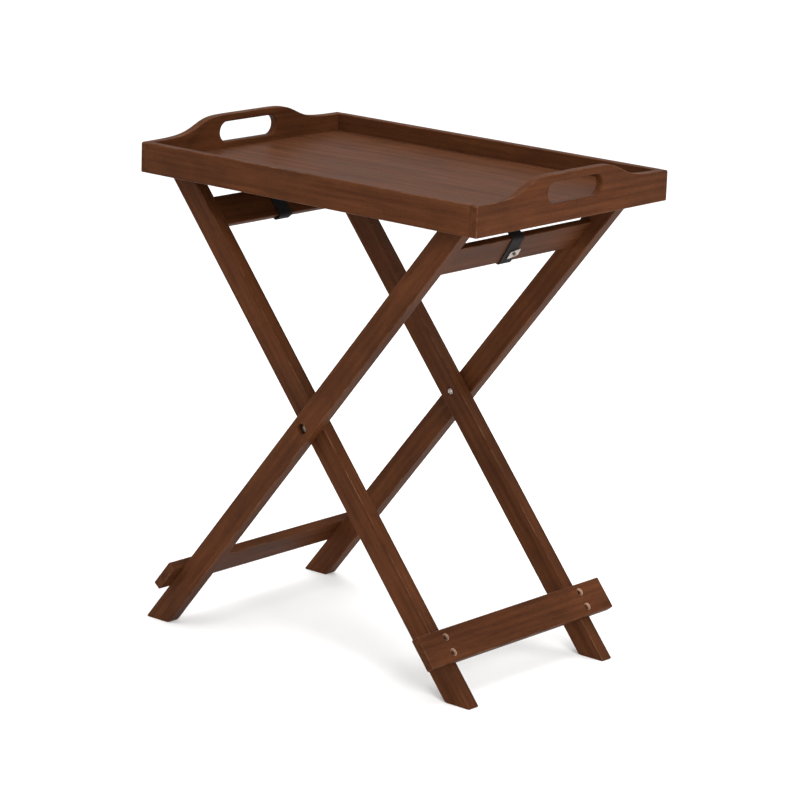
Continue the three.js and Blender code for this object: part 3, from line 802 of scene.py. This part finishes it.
for body, spec in FRAMES.items():
    face = box_of(f"{body}_leg_back")[0][1] - FIT_GAP / 2
    for place, side in (("front", -1), ("back", 1)):
        for count, at in enumerate(pair(spec["rail"], DOWEL_SPACING), 1):
            centre = in_frame(spec["axes"], at, RAIL_THICKNESS / 2, side * face)
            shape, faces = closed_tube(aimed(fluted_dowel(), centre, Y_AXIS))
            dowel = new_piece(f"{body}_{place}_dowel_{count}", shape, faces, dowel_wood)
            note(dowel, "edge", np.zeros(len(shape)))
            smoothed(dowel)
            grained(dowel, centre, Y_AXIS, spec["axes"][0], count)
            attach(dowel, f"{body}_frame")
            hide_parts(f"{body}_rail_dowel_{place}_{count}")


# ---- Stand: pivots ---------------------------------------------------------------------------------
# The frames turn on two plated bolts with hexagon sockets. The heads lie in recesses in the outer legs,
# the nuts in recesses in the inner legs, and a washer keeps the legs apart.
STEEL = ((0.12, 0.1, 0.088, 1), (0.34, 0.3, 0.27, 1), (0.47, 0.42, 0.385, 1))
BOLT_RADIUS = 3 * MM
HEAD_RADIUS = 5.4 * MM
HEAD_HEIGHT = 3 * MM
SOCKET_HALF = 2.1 * MM
THREAD_GAP = FIT_GAP / 3
SOCKET_DEPTH = 1.8 * MM
SOCKET_LIP = 0.35 * MM
SOCKET_LIP_DEPTH = 0.3 * MM
SOCKET_CONE = 0.5 * MM
SOCKET_CONE_SHARE = 0.55
TIP_CHAMFER = 0.6 * MM
HEAD_UNDERCUT = 0.3 * MM
HEAD_DOME = 1.1 * MM
NUT_HALF = 4.3 * MM
NUT_EASE = 0.35 * MM
WASHER_RADIUS = 9 * MM
WASHER_EASE = 0.2 * MM
ROUND_SIDES = 48


def plated_steel(name, dark, mid, light):
    """Plated steel: fine turning scratches, a dull bloom in patches and small dark specks."""
    material = bpy.data.materials.new(name)
    material.use_nodes = True
    tree = material.node_tree
    shader = tree.nodes["Principled BSDF"]
    place = node(tree, "ShaderNodeTexCoord").outputs["Object"]
    bloom = stretched_noise(tree, place, (300, 300), detail=4)
    scratch = stretched_noise(tree, place, (900, 5200), detail=2)
    specks = stretched_noise(tree, place, (1700, 1700), detail=1)
    colour = ramp(tree, bloom, [(0.3, dark), (0.55, mid), (0.8, light)])
    dots = ramp(tree, specks, [(0.66, (1, 1, 1, 1)), (0.74, (0.35, 0.3, 0.27, 1))])
    tree.links.new(mixed(tree, "MULTIPLY", 0.8, colour, dots), shader.inputs["Base Color"])
    shader.inputs["Metallic"].default_value = 1.0
    tree.links.new(sum_of(tree, [(bloom, 0.3), (scratch, 0.15)], 0.1), shader.inputs["Roughness"])
    bump = node(tree, "ShaderNodeBump", {"Height": scratch}, Strength=0.25, Distance=0.0001)
    tree.links.new(bump.outputs["Normal"], shader.inputs["Normal"])
    return material


steel = plated_steel("steel", *STEEL)


def hexagon(half, sides):
    """The radius of a hexagon at each angle, from its half width across the flats."""
    angle = 2 * np.pi * np.arange(sides) / sides
    return half / np.cos((angle + np.pi / 6) % (np.pi / 3) - np.pi / 6)


def fixing(name, shape, metal, body, cad):
    """A small metal piece, from its points and faces, that rides on a frame."""
    piece = new_piece(name, *shape, metal)
    smoothed(piece, math.radians(30))
    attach(piece, body)
    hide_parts(cad)


def pivot_bolt(tip, head_top):
    """A bolt along its own axis: a chamfered tip, the shank, a head with a domed rim, and a socket
    whose radius is a hexagon's. The rows run from the tip over the head and down into the socket."""
    sides = ROUND_SIDES
    under = head_top - HEAD_HEIGHT
    ease = np.linspace(0, np.pi / 2, 5)
    socket = hexagon(SOCKET_HALF, sides)
    round_rows = [BOLT_RADIUS - TIP_CHAMFER, BOLT_RADIUS, BOLT_RADIUS,
                  HEAD_RADIUS - HEAD_UNDERCUT, HEAD_RADIUS]
    heights = [tip, tip + TIP_CHAMFER, under - 0.01 * MM, under, under + HEAD_UNDERCUT]
    rows = [np.full(sides, radius) for radius in round_rows]
    rows += [np.full(sides, radius) for radius in HEAD_RADIUS - HEAD_DOME * (1 - np.cos(ease))]
    heights += list(head_top - HEAD_DOME * (1 - np.sin(ease)))
    rows += [socket + SOCKET_LIP, socket, socket, socket * SOCKET_CONE_SHARE]
    floor_at = head_top - SOCKET_DEPTH
    heights += [head_top, head_top - SOCKET_LIP_DEPTH, floor_at, floor_at - SOCKET_CONE]
    return turned(np.array(rows), np.array(heights)[:, None], sides)


def ring(inner, outer, low, high, ease):
    """A flat ring: a closed band of rows round its four edges. outer may be a radius at each angle."""
    sides = ROUND_SIDES
    outer = np.broadcast_to(outer, sides)
    bore = np.full(sides, inner)
    rows = np.array([bore, bore + ease, outer - ease, outer, outer, outer - ease, bore + ease, bore])
    heights = np.array([low + ease, low, low, low + ease, high - ease, high, high, high - ease])
    return turned(rows, heights[:, None], sides)


def closed_ring(grid):
    """The faces of a grid that closes on itself both ways."""
    rows, around = grid.shape[:2]
    index = np.arange(rows * around).reshape(rows, around)
    right, up = np.roll(index, -1, axis=1), np.roll(index, -1, axis=0)
    quads = np.stack([index, right, np.roll(right, -1, axis=0), up], axis=-1)
    return grid.reshape(-1, 3), quads.reshape(-1, 4).tolist()


for place, side in (("front", -1), ("back", 1)):
    axis = side * Y_AXIS
    bolt_low, bolt_high = box_of(f"pivot_bolt_{place}")
    nut_low, nut_high = box_of(f"pivot_nut_{place}")
    washer_low, washer_high = box_of(f"pivot_washer_{place}")
    tip, head_top = sorted(abs(np.array([bolt_low[1], bolt_high[1]])))
    bolt = closed_tube(aimed(pivot_bolt(tip, head_top), PIVOT, axis))
    fixing(f"{place}_pivot_bolt", bolt, steel, "outer_frame", f"pivot_bolt_{place}")
    inner, outer = sorted(abs(np.array([nut_low[1], nut_high[1]])))
    nut = ring(BOLT_RADIUS + THREAD_GAP, hexagon(NUT_HALF, ROUND_SIDES), inner, outer, NUT_EASE)
    nut = closed_ring(aimed(nut, PIVOT, axis))
    fixing(f"{place}_pivot_nut", nut, steel, "outer_frame", f"pivot_nut_{place}")
    inner, outer = sorted(abs(np.array([washer_low[1], washer_high[1]])))
    washer = ring(BOLT_RADIUS + THREAD_GAP, WASHER_RADIUS, inner, outer, WASHER_EASE)
    washer = closed_ring(aimed(washer, PIVOT, axis))
    fixing(f"{place}_pivot_washer", washer, steel, "outer_frame", f"pivot_washer_{place}")


# ---- Stand: bar screws -----------------------------------------------------------------------------
# Countersunk wood screws with a cross recess, set well below the face of the lower bars. Their steel is
# coloured dark brown, a painted reflection of dark surroundings.
# Dark brown steel colours: a painted reflection of dark surroundings on the screw heads; the bloom and
# specks are the steel's own.
SCREW_DARK_REFLECTION_COLOURS = ((0.045, 0.021, 0.011, 1), (0.11, 0.05, 0.027, 1), (0.17, 0.085, 0.05, 1))
SCREW_RADIUS = 2 * MM
SCREW_HEAD = 3.8 * MM
CROSS_ARM = 2.2 * MM
CROSS_HALF = 0.5 * MM
CROSS_DEPTH = 1.2 * MM
THREAD_PITCH = 1.6 * MM
THREAD_DEPTH = 0.45 * MM
THREAD_STEPS = 8
HEAD_LAND = 0.2 * MM
HEAD_BEVEL = 0.15 * MM


def wood_screw(radius, head, head_height, length, arm):
    """A screw with the top of its head at height 0. The shank's radius swells once a pitch along a helix,
    and the top of the head is a polar grid that drops where it crosses either arm of the recess."""
    sides = ROUND_SIDES
    angle = 2 * np.pi * np.arange(sides) / sides
    steps = THREAD_STEPS * int(length / THREAD_PITCH)
    heights = np.linspace(-length, -head_height - HEAD_LAND, steps)[:, None] * np.ones(sides)
    point = np.clip((heights + length) / (3 * radius), 0.06, 1)
    phase = heights / THREAD_PITCH - angle / (2 * np.pi)
    thread = THREAD_DEPTH * np.clip(1 - 4 * abs(phase % 1 - 0.5), 0, 1)
    shank = point * (radius - THREAD_DEPTH + thread)
    cone = np.array([[radius], [head - HEAD_BEVEL], [head], [head - HEAD_BEVEL]]) * np.ones(sides)
    cone_heights = np.array([[-head_height], [-0.45 * MM], [-0.25 * MM], [0]]) * np.ones(sides)
    disc = np.linspace(head - 0.6 * MM, 0.15 * MM, 14)[:, None] * np.ones(sides)
    x, y = abs(disc * np.cos(angle)), abs(disc * np.sin(angle))
    inside = np.clip((CROSS_HALF - np.minimum(x, y)) / (0.3 * MM), 0, 1)
    reach = np.clip((arm - np.maximum(x, y)) / (0.6 * MM), 0, 1)
    drop = -CROSS_DEPTH * inside * reach
    return turned(np.concatenate([shank, cone, disc]), np.concatenate([heights, cone_heights, drop]), sides)


screw_dark_reflection = plated_steel("bronzed_steel", *SCREW_DARK_REFLECTION_COLOURS)
for body, spec in FRAMES.items():
    leg_low, leg_high = box_of(f"{body}_leg_back")
    leg_middle = (leg_low[1] + leg_high[1]) / 2
    for place, side in (("front", -1), ("back", 1)):
        for count, at in enumerate(pair(spec["bar"], SCREW_SPACING), 1):
            head_at = in_frame(spec["axes"], at, BAR_TOP - SCREW_RECESS, side * leg_middle)
            form = wood_screw(SCREW_RADIUS, SCREW_HEAD, SCREW_HEAD_HEIGHT, SCREW_LENGTH, CROSS_ARM)
            screw = closed_tube(aimed(form, head_at, spec["axes"][1]))
            cad = f"{body}_bar_screw_{place}_{count}"
            fixing(f"{body}_{place}_screw_{count}", screw, screw_dark_reflection, f"{body}_frame", cad)


# ---- Strap -----------------------------------------------------------------------------------------
# One length of black woven webbing. It wraps round the left rail, runs across under the tray and wraps
# round the right rail, where it leans a little, and it stops the frames from opening any further.
STRAP_WIDTH = 26 * MM
STRAP_THICKNESS = 1.6 * MM
STRAP_SLACK = 1.4 * MM
STRAP_BEND = 3.4 * MM
STRAP_Y = {"inner": -14 * MM, "outer": 4.5 * MM}
STRAP_LEAN = {"inner": 0.0, "outer": 0.27}
STRAP_STEP = 1.5 * MM
STRAP_END = 5 * MM
STRAP_LIFT = 2 * MM
WEAVE_REPEATS = 420
WEBBING = (0.006, 0.0055, 0.0055, 1)
WEBBING_HIGH = (0.022, 0.02, 0.019, 1)


def rounded_way(corners, radius, step):
    """An open way through corners in a plane, with each turn rounded to a radius, as evenly spaced
    points. Each turn is a curve between the points where a circle would touch its two sides."""
    corners = np.asarray(corners, float)
    way = [corners[:1]]
    for before, here, after in zip(corners[:-2], corners[1:-1], corners[2:]):
        back = (before - here) / np.linalg.norm(before - here)
        ahead = (after - here) / np.linalg.norm(after - here)
        opening = math.acos(np.clip(back @ ahead, -1, 1))
        reach = min(radius / math.tan(opening / 2), 0.45 * np.linalg.norm(before - here),
                    0.45 * np.linalg.norm(after - here))
        share = np.linspace(0, 1, 9)[:, None]
        start, end = here + back * reach, here + ahead * reach
        way.append((1 - share) ** 2 * start + 2 * share * (1 - share) * here + share**2 * end)
    way.append(corners[-1:])
    way = np.concatenate(way)
    length = np.concatenate([[0], np.cumsum(np.linalg.norm(np.diff(way, axis=0), axis=1))])
    even = np.linspace(0, length[-1], int(length[-1] / step))
    return np.stack([np.interp(even, length, way[:, 0]), np.interp(even, length, way[:, 1])], axis=1)


def strap_middle(body, along):
    """The strap's middle across the table, at places along the leg: on the right rail it leans."""
    start, end = FRAMES[body]["rail"]
    return STRAP_Y[body] - STRAP_LEAN[body] * (np.clip(along, start, end) - (start + end) / 2)


def loop_corners(spec):
    """The strap's corners round a rail, from its free end under the span, down the inner face, round the
    lower edge, up the outer face and over the top."""
    start, end = spec["rail"]
    skin = FIT_GAP + STRAP_THICKNESS / 2
    places = [
        (end - STRAP_END, RAIL_THICKNESS + skin),
        ((start + end) / 2, RAIL_THICKNESS + skin + STRAP_SLACK / 2),
        (start - skin - STRAP_SLACK, RAIL_THICKNESS + skin + STRAP_SLACK / 2),
        (start - skin - STRAP_SLACK, -skin),
        (end + skin, -skin),
        (end + skin, RAIL_THICKNESS + skin + STRAP_LIFT),
    ]
    return [(in_frame(spec["axes"], s, n, 0))[[0, 2]] for s, n in places]


span_low, span_high = box_of("strap_span")
left_turn, right_turn = loop_corners(FRAMES["inner"]), loop_corners(FRAMES["outer"])
way = rounded_way(left_turn + right_turn[::-1], STRAP_BEND, STRAP_STEP)


def webbing_strip(way, left_x, right_x):
    """A strip carried along the way. Its section is a flat loop with round selvedges; U runs along its
    length and V round the section, both in metres."""
    share = np.clip((way[:, 0] - left_x) / (right_x - left_x), 0, 1)
    flat_way = np.stack([way[:, 0] - PIVOT[0], way[:, 1] - PIVOT[2]], axis=1)
    left_y, right_y = (strap_middle(body, flat_way @ spec["axes"][0][[0, 2]]) for body, spec in
                       (("inner", FRAMES["inner"]), ("outer", FRAMES["outer"])))
    middle = left_y + (right_y - left_y) * share
    ahead = np.gradient(way, axis=0)
    ahead /= np.linalg.norm(ahead, axis=1)[:, None]
    out = np.stack([-ahead[:, 1], ahead[:, 0]], axis=1)
    half_width, half = STRAP_WIDTH / 2, STRAP_THICKNESS / 2
    bend = np.linspace(-np.pi / 2, np.pi / 2, 5)
    flat = np.linspace(-1, 1, 15)[1:-1] * (half_width - half)
    across = np.concatenate([half_width - half + half * np.cos(bend), flat[::-1],
                             half - half_width - half * np.cos(bend), flat])
    lift = np.concatenate([half * np.sin(bend), np.full(len(flat), half),
                           -half * np.sin(bend), np.full(len(flat), -half)])
    x = way[:, 0:1] + out[:, 0:1] * lift
    z = way[:, 1:2] + out[:, 1:2] * lift
    y = middle[:, None] + across
    return np.stack([x, np.broadcast_to(y, x.shape), z], axis=2), across


def woven(name):
    """Black webbing: warp ribs along the strap and weft rows across them, one over and one under."""
    material = bpy.data.materials.new(name)
    material.use_nodes = True
    tree = material.node_tree
    shader = tree.nodes["Principled BSDF"]
    place = node(tree, "ShaderNodeUVMap", uv_map="strap_uv").outputs["UV"]
    split = node(tree, "ShaderNodeSeparateXYZ", {"Vector": place})

    def wave(source, repeats, shift=0.0):
        turned_by = sum_of(tree, [(source, repeats * 2 * math.pi)], shift)
        made = tree.nodes.new("ShaderNodeMath")
        made.operation = "SINE"
        tree.links.new(turned_by, made.inputs[0])
        return made.outputs[0]

    along, across = split.outputs["X"], split.outputs["Y"]
    product = tree.nodes.new("ShaderNodeMath")
    product.operation = "MULTIPLY"
    tree.links.new(wave(along, WEAVE_REPEATS), product.inputs[0])
    tree.links.new(wave(across, WEAVE_REPEATS), product.inputs[1])
    fuzz = stretched_noise(tree, place, (900, 900), detail=3)
    relief = sum_of(tree, [(product.outputs[0], 0.35), (fuzz, 0.5)], 0.25)
    colour = ramp(tree, relief, [(0.25, WEBBING), (0.85, WEBBING_HIGH)])
    tree.links.new(colour, shader.inputs["Base Color"])
    tree.links.new(sum_of(tree, [(fuzz, 0.2)], 0.62), shader.inputs["Roughness"])
    shader.inputs["Specular IOR Level"].default_value = 0.06
    bump = node(tree, "ShaderNodeBump", {"Height": relief}, Strength=0.8, Distance=0.0005)
    tree.links.new(bump.outputs["Normal"], shader.inputs["Normal"])
    return material


grid, across = webbing_strip(way, span_low[0], span_high[0])
shape, faces = closed_tube(grid)
strap = new_piece("strap", shape, faces, woven("webbing"))
smoothed(strap, math.radians(60))
distance = np.concatenate([[0], np.cumsum(np.linalg.norm(np.diff(way, axis=0), axis=1))])
layout = np.stack([np.repeat(distance, len(across)), np.tile(across, len(distance))], axis=1)
loop_points = np.zeros(len(strap.data.loops), np.int32)
strap.data.loops.foreach_get("vertex_index", loop_points)
uv = strap.data.uv_layers.new(name="strap_uv")
uv.data.foreach_set("uv", layout[loop_points].astype(np.float32).ravel())
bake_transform(strap)
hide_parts("strap_span", "strap_loop_inner", "strap_loop_outer")


# ---- Strap plates ----------------------------------------------------------------------------------
# A small plated washer plate with round corners and one short screw holds each end of the strap to the
# outer face of its rail.
PLATE_HALF = np.array([7.5, 10]) * MM
PLATE_THICKNESS = 1.2 * MM
PLATE_CORNER = 2.2 * MM
PLATE_EASED_UNDER = 0.3 * MM
PLATE_EASED = 0.5 * MM
PLATE_FROM_EDGE = 19.5 * MM
PLATE_SHIFT = {"outer": 6.3 * MM, "inner": 0}
PLATE_SCREW = 1.5 * MM
PLATE_SCREW_HEAD = 3 * MM
PLATE_SCREW_HEAD_HEIGHT = 1.2 * MM
PLATE_CROSS_ARM = 1.8 * MM
PLATE_SCREW_LENGTH = 9 * MM
PLATE_SCREW_PROUD = 1.5 * MM

for body, spec in FRAMES.items():
    at = spec["rail"][0] + PLATE_FROM_EDGE
    middle_y = strap_middle(body, at) + PLATE_SHIFT[body]
    skin = -(2 * FIT_GAP + STRAP_THICKNESS)
    centre = in_frame(spec["axes"], at, skin, middle_y)
    corners = [PLATE_HALF * sign for sign in ((-1, -1), (1, -1), (1, 1), (-1, 1))]
    points, out, _ = outline(corners, PLATE_CORNER)
    along, inset, _ = rounded_ends(0, PLATE_THICKNESS, PLATE_EASED_UNDER, PLATE_EASED, steps=3)
    grid = carried(points.reshape(-1, 2), out.reshape(-1, 2), along, inset)
    lengthwise = spec["axes"][0] - STRAP_LEAN[body] * Y_AXIS
    lengthwise /= np.linalg.norm(lengthwise)
    plate_axes = (lengthwise, np.cross(-spec["axes"][1], lengthwise), -spec["axes"][1])
    shape, faces = closed_tube(placed(grid, centre, plate_axes))
    plate = new_piece(f"{body}_strap_plate", shape, faces, steel)
    hole = turned([PLATE_SCREW + FIT_GAP] * 2, [-2 * MM, 4 * MM])
    bored(plate, [closed_tube(aimed(hole, centre, -spec["axes"][1]))])
    smoothed(plate)
    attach(plate, f"{body}_frame")
    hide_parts(f"strap_plate_{body}")
    form = wood_screw(
        PLATE_SCREW, PLATE_SCREW_HEAD, PLATE_SCREW_HEAD_HEIGHT, PLATE_SCREW_LENGTH, PLATE_CROSS_ARM
    )
    head_at = centre - spec["axes"][1] * (PLATE_THICKNESS + PLATE_SCREW_PROUD)
    screw = closed_tube(aimed(form, head_at, -spec["axes"][1]))
    # The strap screw takes the dark brown steel, a painted reflection of dark surroundings.
    fixing(f"{body}_strap_screw", screw, screw_dark_reflection, f"{body}_frame", f"strap_screw_{body}")


low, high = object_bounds()
